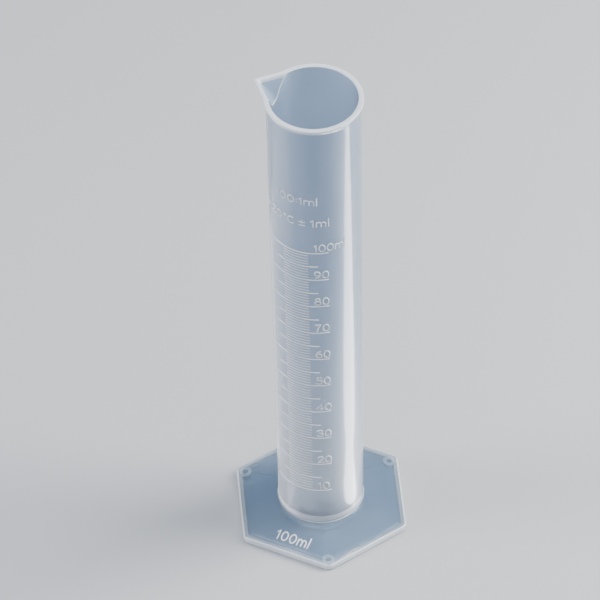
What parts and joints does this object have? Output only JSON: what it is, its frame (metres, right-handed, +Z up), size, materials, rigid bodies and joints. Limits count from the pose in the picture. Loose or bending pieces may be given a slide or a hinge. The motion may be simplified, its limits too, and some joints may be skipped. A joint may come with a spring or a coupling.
{
  "type": "graduated cylinder",
  "caption": "Tall translucent plastic measuring tube with a raised scale and a pouring spout, standing in a wide six-sided foot.",
  "frame": {"origin": "on the surface the part stands on, under the middle of the foot and on the tube's axis", "axes": "+Z up along the tube; the spout points along -X; the graduated side of the tube and one flat of the foot face -Y"},
  "size_m": [0.0696, 0.0612, 0.21],
  "materials": {
    "natural_tube": "natural milky translucent polypropylene, smooth moulded gloss",
    "natural_foot": "natural milky translucent polypropylene, smooth moulded gloss"
  },
  "bodies": {
    "root": {"measuring_tube": "natural_tube", "hexagonal_foot": "natural_foot"}
  },
  "joints": []
}
